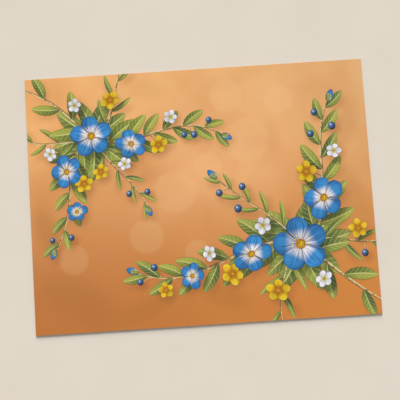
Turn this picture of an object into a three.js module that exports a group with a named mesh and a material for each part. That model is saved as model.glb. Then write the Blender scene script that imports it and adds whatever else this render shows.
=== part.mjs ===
// A rectangular table placemat: a stiff foamed core sheet with a printed film on its face and a
// thin non-slip sheet on its underside, all cut to one outline.
// Millimetres, +Z up. The long side runs along X, and the underside lies at z = 0.
import * as THREE from 'three';

// Outline of the mat
const LENGTH = 400;
const WIDTH = 300;

// Thickness of the three sheets, from the table upwards
const BACKING_THICK = 0.4;
const CORE_THICK = 1.1;
const FILM_THICK = 0.3;

// The blade presses the outer rims a little rounder than the sheet between them
const TOP_EASE = 0.12;
const BOTTOM_EASE = 0.1;

const CORE_Z = BACKING_THICK;
const FILM_Z = CORE_Z + CORE_THICK;
const TOP_Z = FILM_Z + FILM_THICK;

// One sheet, cut square at its corners. The rim is drawn in by `lowerEase` at the lower face and
// by `upperEase` at the upper face.
function sheet(zLow, zHigh, lowerEase, upperEase) {
  const rings = [];
  if (lowerEase > 0) {
    rings.push([lowerEase, zLow]);
    rings.push([0, zLow + lowerEase]);
  } else {
    rings.push([0, zLow]);
  }
  if (upperEase > 0) {
    rings.push([0, zHigh - upperEase]);
    rings.push([upperEase, zHigh]);
  } else {
    rings.push([0, zHigh]);
  }

  const positions = [];
  for (const [inset, z] of rings) {
    const x = LENGTH / 2 - inset;
    const y = WIDTH / 2 - inset;
    positions.push(-x, -y, z);
    positions.push(x, -y, z);
    positions.push(x, y, z);
    positions.push(-x, y, z);
  }

  const triangles = [];
  triangles.push(0, 2, 1);
  triangles.push(0, 3, 2);
  for (let ring = 0; ring < rings.length - 1; ring += 1) {
    for (let side = 0; side < 4; side += 1) {
      const a = ring * 4 + side;
      const b = ring * 4 + ((side + 1) % 4);
      triangles.push(a, b, b + 4);
      triangles.push(a, b + 4, a + 4);
    }
  }
  const last = (rings.length - 1) * 4;
  triangles.push(last, last + 1, last + 2);
  triangles.push(last, last + 2, last + 3);

  const geometry = new THREE.BufferGeometry();
  geometry.setAttribute('position', new THREE.Float32BufferAttribute(positions, 3));
  geometry.setIndex(triangles);
  geometry.computeVertexNormals();
  return geometry;
}

// The printed face: apricot overall, with a satin surface
const filmMaterial = new THREE.MeshStandardMaterial({
  name: 'printed_film',
  color: 0xdf9f62,
  roughness: 0.42,
  metalness: 0,
});

// The core shows only as a thin tan line at the cut edge
const coreMaterial = new THREE.MeshStandardMaterial({
  name: 'foamed_core',
  color: 0x9a8468,
  roughness: 0.75,
  metalness: 0,
});

// The underside is a soft grey non-slip sheet
const backingMaterial = new THREE.MeshStandardMaterial({
  name: 'grip_backing',
  color: 0x8f8b85,
  roughness: 0.85,
  metalness: 0,
});

function addSheet(group, name, geometry, material) {
  const mesh = new THREE.Mesh(geometry, material);
  mesh.name = name;
  group.add(mesh);
}

const group = new THREE.Group();
group.name = 'placemat';
addSheet(group, 'grip_sheet', sheet(0, CORE_Z, BOTTOM_EASE, 0), backingMaterial);
addSheet(group, 'core_sheet', sheet(CORE_Z, FILM_Z, 0, 0), coreMaterial);
addSheet(group, 'print_sheet', sheet(FILM_Z, TOP_Z, 0, TOP_EASE), filmMaterial);

export default group;
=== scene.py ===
import math
import random

import bmesh
import bpy
import numpy as np
from mathutils import Matrix, Vector


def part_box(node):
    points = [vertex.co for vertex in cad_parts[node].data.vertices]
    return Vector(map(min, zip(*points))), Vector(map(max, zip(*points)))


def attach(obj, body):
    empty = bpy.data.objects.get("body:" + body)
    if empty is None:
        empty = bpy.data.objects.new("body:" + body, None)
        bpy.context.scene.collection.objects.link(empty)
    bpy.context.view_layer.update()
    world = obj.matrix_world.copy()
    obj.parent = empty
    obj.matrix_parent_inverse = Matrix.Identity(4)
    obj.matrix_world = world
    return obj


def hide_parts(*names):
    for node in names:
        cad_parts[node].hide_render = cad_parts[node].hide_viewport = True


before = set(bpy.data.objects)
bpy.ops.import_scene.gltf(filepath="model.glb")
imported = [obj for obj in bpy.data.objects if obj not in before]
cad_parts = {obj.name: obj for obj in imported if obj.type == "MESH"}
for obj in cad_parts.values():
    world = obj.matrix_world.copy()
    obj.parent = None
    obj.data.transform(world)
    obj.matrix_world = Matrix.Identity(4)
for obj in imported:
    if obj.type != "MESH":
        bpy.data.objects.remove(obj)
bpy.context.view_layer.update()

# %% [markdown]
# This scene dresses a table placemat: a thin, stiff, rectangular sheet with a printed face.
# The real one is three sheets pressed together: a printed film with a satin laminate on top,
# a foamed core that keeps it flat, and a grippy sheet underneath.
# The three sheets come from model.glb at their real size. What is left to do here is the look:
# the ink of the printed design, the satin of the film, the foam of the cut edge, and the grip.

MM = 0.001
film_low, film_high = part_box("print_sheet")
mat_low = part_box("grip_sheet")[0]
half_length = film_high.x
half_width = film_high.y
chance = random.Random(7)


def in_mm(metres):
    return round(metres / MM, 3)


print("mat in mm:", [in_mm(side) for side in film_high - mat_low])

# %% [markdown]
# The printed design is made of ink shapes that lie on the film like a very thin relief.
# One way is to paint the whole picture inside one material, but then every outline needs its
# own formula. Cutting each leaf and petal as a flat mesh keeps its outline sharp at any zoom,
# and lets its shading follow its own length and width.
# The inks are stacked in steps far thinner than a hair, all below the top of the real film,
# so that an upper petal hides a lower one and the mat keeps its thickness. Two shapes that
# overlap never share a level, because the renderer can't tell which of them is in front. Each
# leaf and stalk therefore takes the lowest level that no near neighbour of its layer has.

# %% Levels of the ink, from the film upwards
INK_DEPTH = 0.20 * MM
STEP = 0.004 * MM
MOST_STEPS = 50
face_level = film_high.z - INK_DEPTH
layer_levels = {
    "back leaf": 1,
    "stalk": 10,
    "stem": 14,
    "leaf": 20,
    "small": 34,
    "flower": 41,
    "stamen": 48,
}
laid = {layer: [] for layer in layer_levels}


def layer_level(layer, step=0):
    return face_level + (layer_levels[layer] + step) * STEP


def free_level(layer, middle, reach):
    """The lowest level of a layer that no shape within reach of this one has taken."""
    taken = {step for place, size, step in laid[layer] if (place - middle).length < size + reach}
    step = next(number for number in range(MOST_STEPS) if number not in taken)
    laid[layer].append((middle, reach, step))
    return layer_level(layer, step)


print("printed face at", in_mm(face_level), "mm, ink up to", in_mm(layer_level("stamen")), "mm")

# %% [markdown]
# A few small helpers come first. Operators act on whatever is selected, and the loaded sheets
# arrive selected, so everything is deselected before each new piece. Points are then picked in
# code, by where they are.

# %% Helpers for selecting
def start_clean():
    if bpy.context.mode != "OBJECT":
        bpy.ops.object.mode_set(mode="OBJECT")
    bpy.ops.object.select_all(action="DESELECT")


def edit(piece):
    bpy.context.view_layer.objects.active = piece
    bpy.ops.object.mode_set(mode="EDIT")
    bpy.ops.mesh.select_mode(type="VERT")


def pick_points(piece, wanted):
    """Selects, in edit mode, only the points whose place passes the test."""
    shape = bmesh.from_edit_mesh(piece.data)
    for point in shape.verts:
        point.select = wanted(point.co)
    shape.select_flush_mode()
    bmesh.update_edit_mesh(piece.data)


def pick_row(piece, axis, level, rows):
    """Selects, in edit mode, the row of points at a level of a piece that has so many rows."""
    near = 0.2 / rows
    pick_points(piece, lambda place: abs(place[axis] - level) < near)


def places_along(piece, axis):
    """The different places, in edit mode, that a piece's points have along one axis."""
    return sorted({round(point.co[axis], 4) for point in bmesh.from_edit_mesh(piece.data).verts})


# %% [markdown]
# The film is one thin slab. It starts as a cube of the film's own size, and the rim of its top
# face is bevelled, because the blade that cuts a mat presses the upper edge a little round.
# The top is then subdivided into small cells. They stay flat: their points are there to hold
# the soft, out-of-focus part of the picture, which is painted on them further down.

# %% The printed film
RIM_ROUND = 0.06 * MM
RIM_SEGMENTS = 3
TOP_CUTS = 111
TINY = 0.001 * MM


def make_film():
    start_clean()
    bpy.ops.mesh.primitive_cube_add(size=1)
    made = bpy.context.object
    made.name = "print_film"
    edit(made)
    bpy.ops.mesh.select_all(action="SELECT")
    size = (2 * half_length, 2 * half_width, face_level - film_low.z)
    bpy.ops.transform.resize(value=size, center_override=(0, 0, 0))
    bpy.ops.transform.translate(value=(0, 0, (face_level + film_low.z) / 2))
    pick_points(made, lambda place: place.z > film_low.z + TINY)
    bpy.ops.mesh.bevel(offset=RIM_ROUND, segments=RIM_SEGMENTS, profile=0.5, affect="EDGES")
    pick_points(made, lambda place: place.z > face_level - TINY)
    bpy.ops.mesh.subdivide(number_cuts=TOP_CUTS)
    bpy.ops.object.mode_set(mode="OBJECT")
    return made


film = make_film()
print("film faces:", len(film.data.polygons))

# %% [markdown]
# Leaves and petals are all flat blades: a narrow foot, a wide middle and a tip. Each kind is
# modelled once as a master, one unit long. A grid is added, and each of its rows is scaled to
# the blade's width and pushed sideways to bend it, as one would do by hand in edit mode.
# The grid's own UV map stays: U runs across the blade and V along it, so that a vein or a
# streak can follow every copy, however it is turned or bent.

# %% A master blade
BLADE_COLUMNS = 6
LEAST_WIDTH = 0.004


def make_blade(name, width_at, bend, crowd=1.3, rows=18):
    """A flat blade from the origin along +Y, one unit long. Rows crowd towards its tip."""
    start_clean()
    bpy.ops.mesh.primitive_grid_add(x_subdivisions=BLADE_COLUMNS, y_subdivisions=rows, size=1)
    blade = bpy.context.object
    blade.name = name
    edit(blade)
    bpy.ops.mesh.select_all(action="SELECT")
    bpy.ops.transform.translate(value=(0, 0.5, 0))
    for level in reversed(places_along(blade, 1)):
        pick_row(blade, 1, level, rows)
        along = 1 - (1 - level) ** crowd
        width = max(width_at(along), LEAST_WIDTH)
        bpy.ops.transform.resize(value=(width, 1, 1), center_override=(0, level, 0))
        bpy.ops.transform.translate(value=(bend * along * along, along - level, 0))
    bpy.ops.object.mode_set(mode="OBJECT")
    return blade


# %% [markdown]
# The widths are short formulas of the place along the blade, from 0 at the foot to 1 at the
# tip. A leaf is a power curve that is pointed at both ends. A petal widens in an S from its
# narrow foot and ends in half an ellipse.

# %% How wide each blade is
PETAL_FOOT = 0.18
PETAL_FULL = 0.86
FULL_AT = 0.6


def broad_leaf_width(along):
    return 1.02 * along ** 0.75 * (1 - along) ** 0.7


def slim_leaf_width(along):
    return 0.50 * along ** 0.6 * (1 - along) ** 0.6


def petal_width(along):
    if along < FULL_AT:
        ease = along / FULL_AT
        return PETAL_FOOT + (PETAL_FULL - PETAL_FOOT) * ease * ease * (3 - 2 * ease)
    past = (along - FULL_AT) / (1 - FULL_AT)
    return PETAL_FULL * math.sqrt(max(0.0, 1 - past ** 2))


def bud_width(along):
    return 1.15 * along ** 0.5 * (1 - along) ** 0.6


# %% The masters of leaves and petals
masters = {
    "broad_left": make_blade("broad_left", broad_leaf_width, -0.16),
    "broad_right": make_blade("broad_right", broad_leaf_width, 0.16),
    "slim_left": make_blade("slim_left", slim_leaf_width, -0.22),
    "slim_right": make_blade("slim_right", slim_leaf_width, 0.22),
    "petal": make_blade("petal", petal_width, 0.0, crowd=1.6),
    "bud": make_blade("bud", bud_width, 0.0, rows=14),
}
print("masters:", ", ".join(masters))

# %% [markdown]
# Flower centres, stamens and berries are round. A filled circle brings a UV map laid from
# above, with the middle of the disc at the middle of the map. For a flower's centre every
# second point is drawn in, which gives the knobbly rim of many small grains, and a stamen's
# grain is a disc drawn out into an oval.

# %% Master discs
KNOB_DEPTH = 0.90


def make_disc(name, sides, across=1.0, along=1.0, knobbly=False):
    start_clean()
    bpy.ops.mesh.primitive_circle_add(vertices=sides, radius=0.5, fill_type="NGON", calc_uvs=True)
    disc = bpy.context.object
    disc.name = name
    edit(disc)
    bpy.ops.mesh.select_all(action="SELECT")
    bpy.ops.transform.resize(value=(across, along, 1), center_override=(0, 0, 0))
    if knobbly:
        sector = 2 * math.pi / sides
        pick_points(disc, lambda place: round(math.atan2(place.x, place.y) / sector) % 2 == 1)
        bpy.ops.transform.resize(value=(KNOB_DEPTH, KNOB_DEPTH, 1), center_override=(0, 0, 0))
    bpy.ops.object.mode_set(mode="OBJECT")
    return disc


masters["centre"] = make_disc("centre", 44, knobbly=True)
masters["berry"] = make_disc("berry", 28, along=1.06)
masters["grain"] = make_disc("grain", 10, across=0.75, along=1.25)

# %% [markdown]
# A stem is a flat ribbon that follows a free curve. Drawing its outline point by point would be
# slow, so a straight ribbon is tapered once, and each stem is a copy of it, stretched to the
# length of its curve and bent by a Curve modifier, which is then applied.

# %% A master ribbon
RIBBON_STEPS = 36
RIBBON_STRIPS = 4
THIN_END = 0.42


def make_ribbon():
    start_clean()
    bpy.ops.mesh.primitive_grid_add(x_subdivisions=RIBBON_STEPS, y_subdivisions=RIBBON_STRIPS, size=1)
    ribbon = bpy.context.object
    ribbon.name = "ribbon"
    edit(ribbon)
    bpy.ops.mesh.select_all(action="SELECT")
    bpy.ops.transform.translate(value=(0.5, 0, 0))
    for along in places_along(ribbon, 0):
        pick_row(ribbon, 0, along, RIBBON_STEPS)
        width = 1 - (1 - THIN_END) * along
        bpy.ops.transform.resize(value=(1, width, 1), center_override=(along, 0, 0))
    bpy.ops.object.mode_set(mode="OBJECT")
    return ribbon


masters["ribbon"] = make_ribbon()

# %% The curve that bends a ribbon
LENGTH_STEPS = 60
CURVE_STEPS = 40


def on_route(route, t):
    """The place on a Bezier route of four points, and the direction there."""
    a, b, c, d = route
    s = 1 - t
    place = a * s ** 3 + b * 3 * s * s * t + c * 3 * s * t * t + d * t ** 3
    heading = (b - a) * 3 * s * s + (c - b) * 6 * s * t + (d - c) * 3 * t * t
    return place, heading.normalized()


def route_length(route):
    places = [on_route(route, step / LENGTH_STEPS)[0] for step in range(LENGTH_STEPS + 1)]
    return sum((second - first).length for first, second in zip(places, places[1:]))


def lay_curve(route):
    start_clean()
    bpy.ops.curve.primitive_bezier_curve_add()
    curve = bpy.context.object
    curve.data.twist_mode = "Z_UP"
    curve.data.resolution_u = CURVE_STEPS
    first, last = curve.data.splines[0].bezier_points
    for point in (first, last):
        point.handle_left_type = "FREE"
        point.handle_right_type = "FREE"
    first.co = route[0].to_3d()
    first.handle_right = route[1].to_3d()
    first.handle_left = (route[0] * 2 - route[1]).to_3d()
    last.co = route[3].to_3d()
    last.handle_left = route[2].to_3d()
    last.handle_right = (route[3] * 2 - route[2]).to_3d()
    return curve


# %% [markdown]
# Each copy has its own mesh and stays at the origin, with its place in the mesh. It also carries
# a tone, one number between 0 and 1 for the whole copy, which the inks use to make no two
# leaves or petals quite the same colour.

# %% Copies of the masters
def copy_of(master, place, tone):
    made = masters[master].copy()
    made.data = masters[master].data.copy()
    bpy.context.collection.objects.link(made)
    made.data.transform(place)
    shade = made.data.attributes.new("tone", "FLOAT", "POINT")
    shade.data.foreach_set("value", [tone] * len(made.data.vertices))
    return made


def at(spot, level):
    return Matrix.Translation((spot.x, spot.y, level))


def turned(angle):
    return Matrix.Rotation(angle, 4, "Z")


def scaled(across, along):
    return Matrix.Diagonal((across, along, 1, 1))


def towards(heading):
    """The turn that brings +Y onto a direction."""
    return math.atan2(heading.y, heading.x) - math.pi / 2


inks = {"stem": [], "leaf": [], "blue": [], "yellow": [], "white": [], "centre": [], "berry": []}

# %% [markdown]
# A printed picture with a blurred background looks deep because near things throw soft shade on
# what is behind. Every leaf, flower, bud and berry therefore notes an oval of shade, a few
# millimetres down and to the right of itself, and the film's points are shaded with them later.
# Each flower notes a second, darker oval, for the leaves and stems that lie under it.

# %% Notes for the soft shade
SHADE_SHIFT = Vector((3.0, -4.5)) * MM
SHADE_BLUR = 6 * MM
LEAF_SHADE = 0.40
FLOWER_SHADE = 0.75
BUD_SHADE = 0.40
BERRY_SHADE = 0.60
SHADE_ON_LEAVES = 0.85
shade_ovals = []
flower_ovals = []


def note_shade(ovals, spot, half_long, half_wide, angle, strength):
    long_way = half_long + SHADE_BLUR
    wide_way = half_wide + SHADE_BLUR
    ovals.append((spot + SHADE_SHIFT, long_way, wide_way, angle, strength))


# %% Stems and leaves
def add_stem(route, width, level):
    curve = lay_curve(route)
    ribbon = copy_of("ribbon", scaled(route_length(route), width), chance.random())
    start_clean()
    ribbon.select_set(True)
    bpy.context.view_layer.objects.active = ribbon
    bend = ribbon.modifiers.new("bend", "CURVE")
    bend.object = curve
    bend.deform_axis = "POS_X"
    bpy.ops.object.modifier_apply(modifier="bend")
    ribbon.data.transform(Matrix.Translation((0, 0, level)))
    bpy.data.objects.remove(curve)
    inks["stem"].append(ribbon)


def add_leaf(layer, master, spot, angle, length, tone):
    middle = spot + Matrix.Rotation(angle, 2) @ Vector((0, length / 2))
    level = free_level(layer, middle, length / 2)
    place = at(spot, level) @ turned(angle) @ scaled(length, length)
    inks["leaf"].append(copy_of(master, place, tone))
    note_shade(shade_ovals, middle, length * 0.42, length * 0.12, angle, LEAF_SHADE)


# %% [markdown]
# A flower is five petals round a centre. Each petal lies one step above the last, so that each
# covers its neighbour's edge. A flower that looks sideways is the same flower pressed flat
# along one direction, as a round thing looks when it is seen at a slant.

# %% Flowers
PETALS = 5
FIFTH = 2 * math.pi / PETALS
PETAL_REACH = (0.93, 1.04)
CENTRE_WIDTH = 0.42
CENTRE_TONE = 0.7
STAMENS = 13
STAMEN_RING = (0.27, 0.36)
STAMEN_SIZE = 1.7 * MM
STAMEN_TONE = 0.0


def pressed(press, lean):
    """Presses a flower flat by a share of its width, along a direction."""
    return turned(lean) @ scaled(1, press) @ turned(-lean)


def add_flower(ink, layer, spot, radius, press, lean):
    ground = at(spot, layer_level(layer)) @ pressed(press, lean)
    start = chance.uniform(0, FIFTH)
    for number in range(PETALS):
        angle = start + number * FIFTH + chance.uniform(-0.06, 0.06)
        reach = radius * chance.uniform(*PETAL_REACH)
        foot = Matrix.Translation((0, radius * 0.05, number * STEP))
        place = ground @ turned(angle) @ foot @ scaled(reach, reach)
        inks[ink].append(copy_of("petal", place, chance.random()))
    across = radius * CENTRE_WIDTH
    top = at(spot, layer_level(layer, PETALS)) @ pressed(press, lean)
    inks["centre"].append(copy_of("centre", top @ scaled(across, across), CENTRE_TONE))
    note_shade(shade_ovals, spot, radius, radius, 0, FLOWER_SHADE)
    note_shade(flower_ovals, spot, radius * 0.95, radius * 0.95, 0, SHADE_ON_LEAVES)


def add_stamens(spot, radius, press, lean):
    """A ring of pale grains round the centre of a large flower."""
    for number in range(STAMENS):
        angle = number * 2 * math.pi / STAMENS + chance.uniform(-0.1, 0.1)
        out = Matrix.Translation((0, radius * chance.uniform(*STAMEN_RING), 0))
        place = at(spot, layer_level("stamen")) @ pressed(press, lean) @ turned(angle) @ out
        grain = place @ scaled(STAMEN_SIZE, STAMEN_SIZE)
        inks["centre"].append(copy_of("grain", grain, STAMEN_TONE))


# %% Buds and berries
SEPALS = ((0.45, "slim_right"), (-0.45, "slim_left"), (0.0, "slim_left"))
SEPAL_LENGTH = 0.6


def add_bud(spot, heading, length):
    """A closed blue bud in a cup of three small sepals."""
    angle = towards(heading)
    place = at(spot, layer_level("small")) @ turned(angle) @ scaled(length, length)
    inks["blue"].append(copy_of("bud", place, 0.35))
    for number, (spread, master) in enumerate(SEPALS):
        foot = at(spot, layer_level("small", number + 1)) @ turned(angle + spread)
        cup = foot @ scaled(length, length * SEPAL_LENGTH)
        inks["leaf"].append(copy_of(master, cup, 0.4))
    middle = spot + heading * length / 2
    note_shade(shade_ovals, middle, length / 2, length / 4, angle, BUD_SHADE)


def add_berry(spot, size):
    place = at(spot, layer_level("small")) @ scaled(size, size)
    inks["berry"].append(copy_of("berry", place, chance.random()))
    note_shade(shade_ovals, spot, size / 2, size / 2, 0, BERRY_SHADE)


# %% [markdown]
# A sprig is a stem with leaves set left and right in turn, larger near its foot and smaller
# towards its tip. Each leaf bends towards the tip of the stem, as growing leaves do.
# Small blossoms and berries sit beside the stem, each on a short stalk that leaves it at a
# slant.

# %% Sprigs and stalks
FIRST_LEAF = 0.14
LEAFY_SHARE = 0.82
SPREAD_AT_FOOT = 60
SPREAD_LOST = 24
LENGTH_LOST = 0.42
STALK_START = 0.07


def add_sprig(route, width, level, leaves, leaf_length, kind):
    add_stem(route, width, level)
    for number in range(leaves):
        t = FIRST_LEAF + LEAFY_SHARE * number / (leaves - 1)
        spot, heading = on_route(route, t)
        left = number % 2 == 0
        spread = math.radians(SPREAD_AT_FOOT - SPREAD_LOST * t) * (1 if left else -1)
        length = leaf_length * (1 - LENGTH_LOST * t) * chance.uniform(0.9, 1.1)
        master = kind + ("_right" if left else "_left")
        add_leaf("leaf", master, spot, towards(heading) + spread, length, chance.random())


def beside(route, t, offset):
    """The place at a distance to the left of a stem."""
    spot, heading = on_route(route, t)
    return spot + Vector((-heading.y, heading.x)) * offset


def add_stalk(route, t, offset, width):
    """A short stalk from a stem to a place beside it, which it returns."""
    foot, heading = on_route(route, max(0.0, t - STALK_START))
    end = beside(route, t, offset)
    reach = (end - foot).length
    level = free_level("stalk", (foot + end) / 2, reach / 2)
    add_stem((foot, foot + heading * reach * 0.5, end - (end - foot) * 0.3, end), width, level)
    return end


# %% [markdown]
# The design is two corner sprays of simple garden flowers, one growing in from the lower right
# and a smaller one from the upper left, with much of the middle left open for a plate.
# Each spray is laid out in its own millimetres, around the middle of its largest flower, and is
# then turned and scaled to its corner. A sprig is given by the four points of its curve, its
# width, its number of leaves, the length of the largest leaf and the kind of leaf. A flower is
# given by its place, radius, press and lean. A blossom or berry is given by its sprig, how far
# along that sprig it grows, how far beside it, and its size.

# %% Drawing one spray
BACK_LEAVES = 9
BACK_LENGTH = (50, 62)
BLOSSOM_STALK = 1.6
BERRY_STALK = 1.3
BUD_LENGTH = 15


def draw_spray(anchor, turn, scale, spray):
    unit = scale * MM
    place = Matrix.Rotation(turn, 2) * unit
    anchor = Vector(anchor) * MM

    def to_mat(point):
        return anchor + place @ Vector(point)

    for number in range(BACK_LEAVES):
        angle = turn + number * 2 * math.pi / BACK_LEAVES + chance.uniform(-0.15, 0.15)
        length = chance.uniform(*BACK_LENGTH) * unit
        master = "broad_left" if number % 2 else "broad_right"
        add_leaf("back leaf", master, anchor, angle, length, chance.uniform(0, 0.3))
    routes = []
    for points, width, leaves, leaf_length, kind in spray["sprigs"]:
        level = layer_level("stem", len(routes))
        routes.append([to_mat(point) for point in points])
        add_sprig(routes[-1], width * unit, level, leaves, leaf_length * unit, kind)
    for x, y, radius, press, lean in spray["flowers"]:
        lean = math.radians(lean) + turn
        add_flower("blue", "flower", to_mat((x, y)), radius * unit, press, lean)
        add_stamens(to_mat((x, y)), radius * unit, press, lean)
    for ink, sprig, t, offset, radius in spray["blossoms"]:
        spot = add_stalk(routes[sprig], t, offset * unit, BLOSSOM_STALK * unit)
        press = chance.uniform(0.85, 1.0)
        lean = chance.uniform(0, 3)
        add_flower(ink, "small", spot, radius * unit, press, lean)
    for sprig, t, offset, size in spray["berries"]:
        spot = add_stalk(routes[sprig], t, offset * unit, BERRY_STALK * unit)
        add_berry(spot, size * unit)
    for sprig in spray["buds"]:
        end, heading = on_route(routes[sprig], 1.0)
        add_bud(end, heading, BUD_LENGTH * unit)


def count_shapes():
    return {ink: len(parts) for ink, parts in inks.items()}


# %% The lower right spray
LOWER_SPRAY = {
    "sprigs": [
        (((0, 0), (-60, 30), (-112, -52), (-190, -20)), 4.0, 13, 48, "broad"),
        (((0, 0), (56, 30), (14, 104), (44, 168)), 3.8, 12, 46, "broad"),
        (((0, 0), (-24, 40), (-54, 46), (-92, 84)), 2.8, 9, 36, "slim"),
        (((0, 0), (30, -18), (48, -44), (104, -78)), 4.4, 5, 52, "broad"),
        (((-12, 0), (-22, -34), (-34, -62), (-26, -100)), 3.0, 5, 40, "slim"),
        (((12, 6), (52, 10), (74, -8), (104, 4)), 2.8, 5, 38, "slim"),
    ],
    "flowers": [
        (0, 2, 31, 1.0, 0), (-58, -6, 23, 0.86, 25),
        (31, 54, 25, 0.90, 60), (-128, -27, 15, 0.92, 80),
    ],
    "blossoms": [
        ("yellow", 0, 0.50, 18, 13), ("white", 0, 0.57, -15, 9), ("yellow", 0, 0.86, 14, 9),
        ("yellow", 1, 0.58, 19, 13), ("white", 1, 0.70, -15, 9), ("white", 2, 0.42, 14, 10),
        ("yellow", 4, 0.52, -4, 14), ("white", 3, 0.42, -17, 10), ("yellow", 5, 0.55, 15, 11),
    ],
    "berries": [
        (2, 0.72, 13, 9), (2, 0.80, -11, 8), (2, 0.92, 11, 8), (0, 0.93, -11, 8), (0, 0.98, 9, 7),
        (1, 0.86, -12, 9), (1, 0.92, 11, 8), (1, 0.80, 12, 8), (5, 0.66, -13, 8),
    ],
    "buds": [0, 1, 2],
}
draw_spray((112, -66), 0.0, 1.0, LOWER_SPRAY)
print("ink shapes after the lower spray:", count_shapes())

# %% The upper left spray
UPPER_SPRAY = {
    "sprigs": [
        (((0, 0), (-48, 36), (-104, -34), (-172, 8)), 3.8, 12, 46, "broad"),
        (((0, 0), (50, 20), (20, 86), (56, 148)), 3.6, 10, 44, "broad"),
        (((0, 0), (-10, 38), (-50, 58), (-66, 98)), 2.8, 8, 36, "slim"),
        (((0, 0), (30, -20), (40, -50), (98, -70)), 4.2, 5, 50, "broad"),
        (((-12, -4), (-32, -28), (-28, -60), (-46, -100)), 3.0, 5, 38, "slim"),
        (((10, 8), (48, 2), (70, 16), (106, -6)), 2.8, 5, 36, "slim"),
    ],
    "flowers": [
        (3, 0, 28, 0.95, 40), (-50, 14, 21, 0.88, -20),
        (38, 46, 22, 0.90, 70), (27, 100, 14, 0.9, 10),
    ],
    "blossoms": [
        ("yellow", 0, 0.52, -17, 12), ("white", 0, 0.66, 15, 9), ("yellow", 1, 0.52, 18, 12),
        ("white", 2, 0.50, 12, 9), ("yellow", 2, 0.38, -18, 11), ("yellow", 4, 0.50, 5, 13),
        ("white", 5, 0.50, 14, 9), ("white", 3, 0.45, -16, 9),
    ],
    "berries": [
        (0, 0.82, -12, 9), (0, 0.90, 11, 8), (0, 0.74, -12, 8), (2, 0.78, -11, 8),
        (2, 0.88, 10, 8), (1, 0.90, 12, 8), (1, 0.96, -10, 7),
    ],
    "buds": [0, 1, 2],
}
draw_spray((-122, 78), math.pi, 0.88, UPPER_SPRAY)
print("ink shapes after both sprays:", count_shapes())
steps_taken = {layer: {step for _, _, step in shapes} for layer, shapes in laid.items()}
print("levels taken by leaves and stalks:", {layer: len(steps) for layer, steps in steps_taken.items()})

# %% [markdown]
# All shapes of one ink are joined into one piece, and whatever runs past the mat is trimmed
# with four cuts, as the printed sheet itself is trimmed after printing.

# %% Joining and trimming the inks
TRIM = RIM_ROUND + 0.05 * MM
SIDES = [Vector((1, 0, 0)), Vector((-1, 0, 0)), Vector((0, 1, 0)), Vector((0, -1, 0))]


def join_ink(name, parts):
    start_clean()
    for part in parts:
        part.select_set(True)
    bpy.context.view_layer.objects.active = parts[0]
    bpy.ops.object.join()
    piece = bpy.context.object
    piece.name = name
    piece.data.name = name
    edit(piece)
    for side in SIDES:
        reach = (half_length if side.x else half_width) - TRIM
        bpy.ops.mesh.select_all(action="SELECT")
        bpy.ops.mesh.bisect(plane_co=side * reach, plane_no=side, clear_outer=True)
    bpy.ops.object.mode_set(mode="OBJECT")
    return piece


INK_NAMES = {
    "stem": "stem_ink",
    "leaf": "leaf_ink",
    "blue": "blue_petal_ink",
    "yellow": "yellow_petal_ink",
    "white": "white_petal_ink",
    "centre": "flower_centre_ink",
    "berry": "berry_ink",
}
ink_pieces = {ink: join_ink(INK_NAMES[ink], parts) for ink, parts in inks.items()}
for master in masters.values():
    bpy.data.objects.remove(master)
print("faces:", {piece.name: len(piece.data.polygons) for piece in ink_pieces.values()})

# %% [markdown]
# The soft part of the picture is stored on the points of the meshes as plain numbers between 0
# and 1. The film gets the shade under the sprays, and a few large leaves so far out of focus
# that only their soft ovals are left. Leaves and stems get the shade of the flowers above them.
# An oval is full in its core and fades to nothing at its rim. A far leaf is given by its place,
# half its length, half its width, its turn and its strength.

# %% Painting the soft ovals
SOFT_CORE = 0.2
FAR_CORE = 0.25
FLOWER_CORE = 0.6


def cover_of(piece, ovals, core):
    """How much the ovals cover each point of a piece. They are full inside their core."""
    places = np.empty(len(piece.data.vertices) * 3)
    piece.data.vertices.foreach_get("co", places)
    places = places.reshape(-1, 3)
    bare = np.ones(len(places))
    for spot, half_long, half_wide, angle, strength in ovals:
        x = places[:, 0] - spot.x
        y = places[:, 1] - spot.y
        wide = x * math.cos(angle) + y * math.sin(angle)
        far = y * math.cos(angle) - x * math.sin(angle)
        reach = np.sqrt((far / half_long) ** 2 + (wide / half_wide) ** 2)
        fade = np.clip((1 - reach) / (1 - core), 0, 1)
        bare *= 1 - strength * fade * fade * (3 - 2 * fade)
    return 1 - bare


def store(piece, name, values):
    piece.data.attributes.new(name, "FLOAT", "POINT").data.foreach_set("value", values)


FAR_LEAVES = [
    (20, -118, 46, 20, 70, 0.7), (-66, -126, 40, 18, 110, 0.7), (178, -12, 50, 22, 20, 0.6),
    (60, -20, 44, 18, 50, 0.5), (176, 72, 40, 18, -20, 0.4), (-182, -30, 46, 20, 15, 0.8),
    (-60, 128, 44, 18, 80, 0.25), (40, 134, 38, 16, 100, 0.2), (-70, 40, 40, 17, 40, 0.4),
    (-150, -110, 60, 34, 60, 0.75), (-110, -136, 50, 26, 85, 0.6),
]
far_ovals = [
    (Vector((x, y)) * MM, long_way * MM, wide_way * MM, math.radians(angle), strength)
    for x, y, long_way, wide_way, angle, strength in FAR_LEAVES
]
store(film, "soft_shade", cover_of(film, shade_ovals, SOFT_CORE))
store(film, "far_leaves", cover_of(film, far_ovals, FAR_CORE))
for ink in ("leaf", "stem"):
    store(ink_pieces[ink], "flower_shade", cover_of(ink_pieces[ink], flower_ovals, FLOWER_CORE))
print("ovals of shade:", len(shade_ovals), "and far leaves:", len(far_ovals))

# %% [markdown]
# Every material is built from the same small function, which adds one node, gives it its
# settings and links what comes in. Colours are written as the eye sees them, in sRGB hex, and
# one function turns them to the linear values that the shaders need.

# %% Colour and node helpers
def linear(share):
    return share / 12.92 if share <= 0.04045 else ((share + 0.055) / 1.055) ** 2.4


def paint(hex_colour):
    values = [int(hex_colour[place:place + 2], 16) / 255 for place in (0, 2, 4)]
    return (*[linear(value) for value in values], 1.0)


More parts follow.
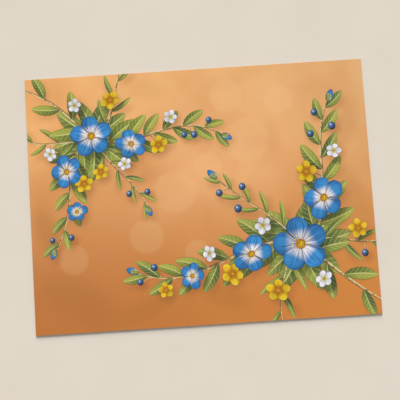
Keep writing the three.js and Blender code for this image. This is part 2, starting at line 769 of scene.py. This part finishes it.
def add(tree, kind, inputs=None, **settings):
    """Adds a node. An input is a plain value, an output socket, or a node for its first output."""
    made = tree.nodes.new("ShaderNode" + kind)
    for name, value in settings.items():
        setattr(made, name, value)
    for socket, value in (inputs or {}).items():
        if isinstance(value, bpy.types.Node):
            value = next(output for output in value.outputs if output.enabled)
        if isinstance(value, bpy.types.NodeSocket):
            tree.links.new(value, made.inputs[socket])
        else:
            made.inputs[socket].default_value = value
    return made


def new_material(name):
    material = bpy.data.materials.new(name)
    material.use_nodes = True
    material.node_tree.nodes.clear()
    return material, material.node_tree


def close_material(tree, surface):
    add(tree, "OutputMaterial", {"Surface": surface})


# %% [markdown]
# A few kinds of node come back in every material, so each has a short name of its own. A ramp
# turns a value that runs from start to end into one that runs from first to last, and stays
# level beyond both. Noise is given by the width of its patches.

# %% Nodes that come back
def object_place(tree):
    return add(tree, "TexCoord").outputs["Object"]


def stored(tree, name):
    return add(tree, "Attribute", attribute_name=name).outputs["Fac"]


def maths(tree, operation, *values):
    return add(tree, "Math", dict(enumerate(values)), operation=operation)


def distance(tree, first, second):
    return add(tree, "VectorMath", {0: first, 1: second}, operation="DISTANCE").outputs["Value"]


def ramp(tree, value, start, end, first=0.0, last=1.0, smooth=False):
    limits = {"From Min": start, "From Max": end, "To Min": first, "To Max": last}
    way = "SMOOTHSTEP" if smooth else "LINEAR"
    return add(tree, "MapRange", {"Value": value, **limits}, interpolation_type=way)


def noise(tree, place, width, detail):
    return add(tree, "TexNoise", {"Vector": place, "Scale": 1 / width, "Detail": detail})


def blend(tree, factor, first, second):
    return add(tree, "Mix", {"Factor": factor, 6: first, 7: second}, data_type="RGBA")


# %% [markdown]
# A satin laminate covers every ink. It is a clear polypropylene or polyester film of about
# 0.03 mm, rolled on hot, with an IOR near 1.5. It scatters a highlight wide and even, and under
# a lens it has a faint orange-peel grain. So each ink ends in the same surface, with the
# roughness of satin, slightly uneven where hands have polished it.

# %% The satin laminate
GRAIN = 0.7 * MM
POLISHED_PATCH = 30 * MM
SATIN = 0.44
UNEVEN = 0.05


def laminate(tree, colour):
    """The real grain is about 0.3 mm wide, and is drawn 0.7 mm wide so that it shows."""
    spot = object_place(tree)
    grain = noise(tree, spot, GRAIN, 1.0)
    peel = add(tree, "Bump", {"Height": grain, "Strength": 0.25, "Distance": 0.01 * MM})
    smear = noise(tree, spot, POLISHED_PATCH, 3.0)
    satin = ramp(tree, smear, 0.3, 0.7, SATIN - UNEVEN, SATIN + UNEVEN)
    surface = {"Base Color": colour, "Roughness": satin, "Normal": peel, "IOR": 1.5}
    return add(tree, "BsdfPrincipled", surface)


# %% [markdown]
# The film's ground is a soft, out-of-focus apricot, lighter above and deeper below, with wide
# mottling and a few pale discs, as in a picture whose background is blurred. A disc is given by
# its middle and radius in millimetres. The stored ovals darken the ground behind the sprays,
# which lifts them off it.
# At the very rim, knocks in daily use have bared specks of the white film under the ink.

# %% The ground of the print
GLOW_DISCS = [
    (-30, 6, 26), (10, 34, 17), (-66, -44, 21), (58, 62, 28),
    (98, 108, 18), (-8, -66, 15), (36, 116, 20), (-152, -66, 18),
]
DISC_STRENGTH = 0.12
CLOUD_WIDTH = 75 * MM
WHITE_RIM = 0.2 * MM
KNOCK_WIDTH = 8 * MM


def inside_edge(tree, along_axis, half_side):
    """How far past a side a place lies, on either side of the middle. Inside it is negative."""
    return maths(tree, "SUBTRACT", maths(tree, "ABSOLUTE", along_axis), half_side)


def blurred_ground(tree, spot, split):
    across = ramp(tree, split.outputs["X"], -half_length, half_length)
    down = ramp(tree, split.outputs["Y"], half_width, -half_width, smooth=True)
    upper = blend(tree, across, paint("F7BA78"), paint("E4B179"))
    lower = blend(tree, across, paint("BA7038"), paint("D1853A"))
    ground = blend(tree, down, upper, lower)

    glow_place = {"Vector": spot, "Location": (-0.15, -0.30, 0), "Scale": (6.0, 8.0, 0)}
    centred = add(tree, "Mapping", glow_place)
    reach = add(tree, "VectorMath", {0: centred}, operation="LENGTH").outputs["Value"]
    glow = ramp(tree, reach, 0.0, 1.0, 0.75, 0.0, smooth=True)
    ground = blend(tree, glow, ground, paint("F1B47A"))
    cloudy = ramp(tree, noise(tree, spot, CLOUD_WIDTH, 2.5), 0.38, 0.7, 0.0, 0.38)
    ground = blend(tree, cloudy, ground, paint("CB8140"))

    for x, y, radius in GLOW_DISCS:
        away = distance(tree, spot, (x * MM, y * MM, face_level))
        inner = radius * 0.80 * MM
        outer = radius * 1.08 * MM
        disc = ramp(tree, away, inner, outer, DISC_STRENGTH, 0.0, smooth=True)
        ground = blend(tree, disc, ground, paint("FBD6A2"))
    return ground


def apricot_print():
    material, tree = new_material("digital_print_under_satin_laminate")
    spot = object_place(tree)
    split = add(tree, "SeparateXYZ", {"Vector": spot})
    ground = blurred_ground(tree, spot, split)

    far = maths(tree, "MULTIPLY", stored(tree, "far_leaves"), 0.45)
    ground = blend(tree, far, ground, paint("A9702F"))
    shade = maths(tree, "MULTIPLY", stored(tree, "soft_shade"), 0.62)
    ground = blend(tree, shade, ground, paint("8E5426"))

    edge_x = inside_edge(tree, split.outputs["X"], half_length)
    edge_y = inside_edge(tree, split.outputs["Y"], half_width)
    edge = maths(tree, "MAXIMUM", edge_x, edge_y)
    rim = ramp(tree, edge, -WHITE_RIM, 0.0)
    knocked = ramp(tree, noise(tree, spot, KNOCK_WIDTH, 4.0), 0.52, 0.66, 0.05, 0.6)
    worn = maths(tree, "MULTIPLY", rim, knocked)
    ground = blend(tree, worn, ground, paint("F3DCC0"))
    close_material(tree, laminate(tree, ground))
    return material


# %% [markdown]
# The plant inks read the UV map that came with each blade. U across the blade gives the midrib,
# the lit and the shaded half and the darker rim; V along it gives the veins and the change from
# foot to tip. The tone of each copy shifts its colour.

# %% Reading a blade
def read_blade(tree):
    """Across and along a blade, how far from its midrib, and its tone."""
    uv = add(tree, "SeparateXYZ", {"Vector": add(tree, "UVMap", uv_map="UVMap")})
    across = uv.outputs["X"]
    off_rib = maths(tree, "ABSOLUTE", maths(tree, "SUBTRACT", across, 0.5))
    side = maths(tree, "MULTIPLY", off_rib, 2.0)
    return across, uv.outputs["Y"], side, stored(tree, "tone")


def shade_under_flowers(tree, colour, dark):
    shade = maths(tree, "MULTIPLY", stored(tree, "flower_shade"), 0.7)
    return blend(tree, shade, colour, paint(dark))


# %% Leaf ink
VEIN_PAIRS = 8.0
VEIN_SWEEP = 1.3


def leaf_print():
    material, tree = new_material("leaf_green_ink_under_laminate")
    across, along, side, tone = read_blade(tree)
    shaded = blend(tree, tone, paint("4C6234"), paint("76822F"))
    lit = blend(tree, tone, paint("7E9040"), paint("A9AC46"))
    blade = blend(tree, ramp(tree, across, 0.46, 0.54), shaded, lit)
    tip = ramp(tree, along, 0.45, 1.0, 0.0, 0.55)
    blade = blend(tree, tip, blade, paint("BDB755"))
    foot = ramp(tree, along, 0.0, 0.35, 0.75, 0.0)
    blade = blend(tree, foot, blade, paint("36461F"))

    rows = maths(tree, "MULTIPLY", along, VEIN_PAIRS)
    sweep = maths(tree, "MULTIPLY_ADD", side, -VEIN_SWEEP, rows)
    vein = ramp(tree, maths(tree, "PINGPONG", sweep, 0.5), 0.02, 0.11, 0.5, 0.0)
    rib = ramp(tree, side, 0.04, 0.12, 0.9, 0.0)
    blade = blend(tree, maths(tree, "MAXIMUM", vein, rib), blade, paint("D2CF86"))
    rim = ramp(tree, side, 0.80, 1.0, 0.0, 0.55)
    blade = blend(tree, rim, blade, paint("3C4C24"))
    blade = shade_under_flowers(tree, blade, "1F2C16")
    close_material(tree, laminate(tree, blade))
    return material


# %% [markdown]
# A petal is pale at its heart, full in its body and deeper at its tip. Fine darker fibres fan
# out from the foot and fade towards the tip: they are noise that is stretched along the petal.
# One side lies in the shade of the petal above it.

# %% Petal inks
FAN_ACROSS = 11.0
FAN_ALONG = 1.1
FAN_CHANGE = 37.0


def petal_fibres(tree, across, along, tone):
    """Noise stretched along the petal, and read at another place for each petal's tone."""
    fan_across = maths(tree, "MULTIPLY", across, FAN_ACROSS)
    fan_along = maths(tree, "MULTIPLY", along, FAN_ALONG)
    own_fan = maths(tree, "MULTIPLY", tone, FAN_CHANGE)
    fan = add(tree, "CombineXYZ", {"X": fan_across, "Y": fan_along, "Z": own_fan})
    fibres = ramp(tree, noise(tree, fan, 1.0, 2.0), 0.46, 0.62, 0.0, 0.8)
    fade = ramp(tree, along, 0.15, 0.9, 1.0, 0.35)
    return maths(tree, "MULTIPLY", fibres, fade)


def petal_print(name, heart, body, tip, fibre_colour, rim_colour):
    material, tree = new_material(name)
    across, along, side, tone = read_blade(tree)
    outward = ramp(tree, along, 0.16, 0.42, smooth=True)
    petal = blend(tree, outward, paint(heart), paint(body))
    far = ramp(tree, along, 0.5, 1.0, 0.0, 0.85, smooth=True)
    petal = blend(tree, far, petal, paint(tip))
    fibres = petal_fibres(tree, across, along, tone)
    petal = blend(tree, fibres, petal, paint(fibre_colour))

    under = ramp(tree, across, 0.0, 0.36, 0.55, 0.0, smooth=True)
    petal = blend(tree, under, petal, paint(rim_colour))
    rim = ramp(tree, side, 0.88, 1.0, 0.0, 0.7)
    petal = blend(tree, rim, petal, paint(rim_colour))
    pale = ramp(tree, tone, 0.0, 1.0, 0.88, 1.12)
    petal = add(tree, "HueSaturation", {"Color": petal, "Value": pale})
    close_material(tree, laminate(tree, petal))
    return material


# %% Stem, centre and berry inks
BARK_PATCH = 3.2 * MM
CENTRE_CELLS = 8.0


def stem_print():
    material, tree = new_material("pale_stem_ink_under_laminate")
    uv = add(tree, "SeparateXYZ", {"Vector": add(tree, "UVMap", uv_map="UVMap")})
    lit = ramp(tree, uv.outputs["Y"], 0.15, 0.75)
    bark = blend(tree, lit, paint("866636"), paint("E2D09A"))
    flecks = ramp(tree, noise(tree, object_place(tree), BARK_PATCH, 3.0), 0.50, 0.64, 0.0, 0.8)
    bark = blend(tree, flecks, bark, paint("7A4E24"))
    bark = shade_under_flowers(tree, bark, "3A2614")
    close_material(tree, laminate(tree, bark))
    return material


def centre_print():
    """A copy with tone 0 is a grain of a stamen, and stays pale yellow."""
    material, tree = new_material("yellow_centre_ink_under_laminate")
    uv = add(tree, "UVMap", uv_map="UVMap")
    outward = ramp(tree, distance(tree, uv, (0.5, 0.5, 0.0)), 0.10, 0.48, smooth=True)
    disc = blend(tree, outward, paint("EBCB2C"), paint("C98A1C"))
    cells = add(tree, "TexVoronoi", {"Vector": uv, "Scale": CENTRE_CELLS})
    gaps = ramp(tree, cells, 0.30, 0.60, 0.0, 0.75)
    disc = blend(tree, gaps, disc, paint("8E5A16"))
    grain = ramp(tree, stored(tree, "tone"), 0.0, 0.01, 1.0, 0.0)
    disc = blend(tree, grain, disc, paint("F0DC62"))
    close_material(tree, laminate(tree, disc))
    return material


def berry_print():
    material, tree = new_material("navy_berry_ink_under_laminate")
    uv = add(tree, "UVMap", uv_map="UVMap")
    from_light = distance(tree, uv, (0.36, 0.66, 0.0))
    away = ramp(tree, from_light, 0.05, 0.65)
    skin = blend(tree, away, paint("5A82AE"), paint("12233F"))
    from_crown = distance(tree, uv, (0.63, 0.35, 0.0))
    crown = ramp(tree, from_crown, 0.05, 0.10, 0.85, 0.0)
    skin = blend(tree, crown, skin, paint("0C1424"))
    gleam = ramp(tree, from_light, 0.06, 0.13, 0.9, 0.0)
    skin = blend(tree, gleam, skin, paint("E6E4EE"))
    close_material(tree, laminate(tree, skin))
    return material


# %% [markdown]
# The core is foamed plastic sheet, cut clean through, so its edge shows tiny closed cells and
# is matt. The underside is soft grip sheet: a matt, rubbery skin with a small raised lattice,
# and the hollows between its ridges are painted darker as shade.
# Real cells are about 0.2 mm wide and are drawn twice as coarse so that they show.

# %% Core and grip
FOAM_CELL = 0.4 * MM
FOAM_STAIN = 18 * MM
HALF_LATTICE = 1.25 * MM
RIDGE = 0.6 * MM
DUST_PATCH = 25 * MM


def foamed_core():
    material, tree = new_material("foamed_plastic_sheet_cut_edge")
    spot = object_place(tree)
    cells = add(tree, "TexVoronoi", {"Vector": spot, "Scale": 1 / FOAM_CELL})
    soiled = ramp(tree, noise(tree, spot, FOAM_STAIN, 4.0), 0.45, 0.75, 0.0, 0.5)
    foam = blend(tree, soiled, paint("9A8468"), paint("7A6750"))
    pits = add(tree, "Bump", {"Height": cells, "Strength": 0.6, "Distance": 0.05 * MM})
    surface = {"Base Color": foam, "Roughness": 0.75, "Normal": pits}
    close_material(tree, add(tree, "BsdfPrincipled", surface))
    return material


def grip_skin():
    material, tree = new_material("moulded_grip_sheet")
    spot = object_place(tree)
    slanted = add(tree, "Mapping", {"Vector": spot, "Rotation": (0, 0, math.radians(45))})
    split = add(tree, "SeparateXYZ", {"Vector": slanted})
    ridges = []
    for axis in ("X", "Y"):
        wave = maths(tree, "PINGPONG", split.outputs[axis], HALF_LATTICE)
        ridges.append(ramp(tree, wave, 0.0, RIDGE, 1.0, 0.0, smooth=True))
    lattice = maths(tree, "MAXIMUM", *ridges)
    dusty = ramp(tree, noise(tree, spot, DUST_PATCH, 4.0), 0.4, 0.7, 0.0, 0.35)
    skin = blend(tree, dusty, paint("8C8880"), paint("A8A298"))
    # Painted shade: the hollows between the raised ridges are darkened, where shade would fall.
    low = ramp(tree, lattice, 0.0, 1.0, 0.35, 0.0)
    skin = blend(tree, low, skin, paint("5E5B56"))
    raised = add(tree, "Bump", {"Height": lattice, "Strength": 0.8, "Distance": 0.15 * MM})
    surface = {"Base Color": skin, "Roughness": 0.82, "Normal": raised}
    close_material(tree, add(tree, "BsdfPrincipled", surface))
    return material


# %% [markdown]
# The three petal inks are one material with other colours: the heart, the body, the tip, the
# fibres and the rim.

# %% Dressing the pieces
BLUES = ("E9E7F0", "3A8CCB", "2765A4", "1C4884", "18386A")
YELLOWS = ("B26C16", "E4C11E", "F0D548", "B8861A", "94691A")
WHITES = ("C8CA84", "E8E6EF", "F2F0F5", "B2B4CE", "878BAC")


def dress(piece, material):
    piece.data.materials.clear()
    piece.data.materials.append(material)


dress(film, apricot_print())
dress(ink_pieces["stem"], stem_print())
dress(ink_pieces["leaf"], leaf_print())
dress(ink_pieces["blue"], petal_print("blue_petal_ink_under_laminate", *BLUES))
dress(ink_pieces["yellow"], petal_print("yellow_petal_ink_under_laminate", *YELLOWS))
dress(ink_pieces["white"], petal_print("white_petal_ink_under_laminate", *WHITES))
dress(ink_pieces["centre"], centre_print())
dress(ink_pieces["berry"], berry_print())
dress(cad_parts["core_sheet"], foamed_core())
dress(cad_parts["grip_sheet"], grip_skin())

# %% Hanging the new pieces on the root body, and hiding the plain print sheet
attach(film, "root")
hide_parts("print_sheet")
for piece in ink_pieces.values():
    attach(piece, "root")

# %% [markdown]
# The stage is a plain pale floor, one large soft light and a pale sky. The light comes from
# beyond the mat's upper edge, about 24 degrees above the floor, so that the mat's thickness
# throws a line of shadow some 4 mm wide along its lower edge. It is 34 degrees across, which
# blurs the outer rim of that shadow, and so far away that it lights the whole floor evenly.
# A satin sheet turns white with glare when it is seen from low down, towards a lamp. Studios that
# photograph flat prints cut that glare with polarising filters, and here the light is simply
# left out of glossy reflections: the satin mirrors the sky alone.
# Sky and light together give a white surface about its own brightness.

# %% Floor and light
FLOOR_SIZE = 40
FLOOR_PATCH = 60 * MM
SKY_SHARE = 0.36
HORIZON = 0.80
HORIZON_TOP = 0.35
KEY_FROM = Vector((0.03, 0.90, 0.40)).normalized()
KEY_ACROSS = math.radians(34)
KEY_DISTANCE = 3


def make_floor():
    start_clean()
    bpy.ops.mesh.primitive_plane_add(size=FLOOR_SIZE, location=(0, 0, mat_low.z))
    floor = bpy.context.object
    floor.name = "floor"
    material, tree = new_material("matt_pale_floor")
    patches = noise(tree, object_place(tree), FLOOR_PATCH, 4.0)
    colour = blend(tree, patches, paint("DCD3C6"), paint("E3DBCF"))
    matt = {"Base Color": colour, "Roughness": 0.9, "Specular IOR Level": 0.15}
    close_material(tree, add(tree, "BsdfPrincipled", matt))
    floor.data.materials.append(material)


def add_far_light(name, direction, across, share):
    """A distant soft light that gives the floor the share of its own brightness."""
    light = bpy.data.lights.new(name, "SUN")
    light.angle = across
    light.energy = share * math.pi / direction.z
    light.color = (1.0, 0.98, 0.95)
    lamp = bpy.data.objects.new(name, light)
    lamp.location = direction * KEY_DISTANCE
    lamp.rotation_euler = direction.to_track_quat("Z", "Y").to_euler()
    lamp.visible_glossy = False
    bpy.context.scene.collection.objects.link(lamp)
    print(name, "with strength", round(light.energy, 2))


def make_sky():
    """A sky that is palest at the horizon. So low down it adds little light to the floor."""
    world = bpy.data.worlds.new("pale_sky")
    world.use_nodes = True
    tree = world.node_tree
    direction = add(tree, "SeparateXYZ", {"Vector": add(tree, "TexCoord").outputs["Generated"]})
    height = direction.outputs["Z"]
    strength = ramp(tree, height, 0.0, HORIZON_TOP, HORIZON, SKY_SHARE, smooth=True)
    sky = tree.nodes["Background"]
    sky.inputs["Color"].default_value = (1.0, 0.99, 0.98, 1.0)
    tree.links.new(strength.outputs["Result"], sky.inputs["Strength"])
    bpy.context.scene.world = world


make_floor()
add_far_light("key_light", KEY_FROM, KEY_ACROSS, 1 - SKY_SHARE)
make_sky()
bpy.context.scene.view_settings.view_transform = "Standard"

# %% [markdown]
# The camera looks almost straight down. Its place and turn were worked out from where the four
# corners of the mat's face lie in the picture, with a normal 50 mm lens: a rectangle of known
# size fixes them. It stands a little below the mat's middle, tilted forward under four degrees,
# and the mat looks turned by as much because the camera is.

# %% Camera
LENS = 50
SENSOR_WIDTH = 36
CAMERA_PLACE = (-0.0031, -0.0480, 0.6495)
CAMERA_TURN = (3.75, 0.10, -3.70)

camera_data = bpy.data.cameras.new("camera")
camera_data.lens = LENS
camera_data.sensor_width = SENSOR_WIDTH
camera = bpy.data.objects.new("camera", camera_data)
camera.location = CAMERA_PLACE
camera.rotation_euler = [math.radians(angle) for angle in CAMERA_TURN]
bpy.context.scene.collection.objects.link(camera)
bpy.context.scene.camera = camera

# %% The end, with nothing left selected
start_clean()
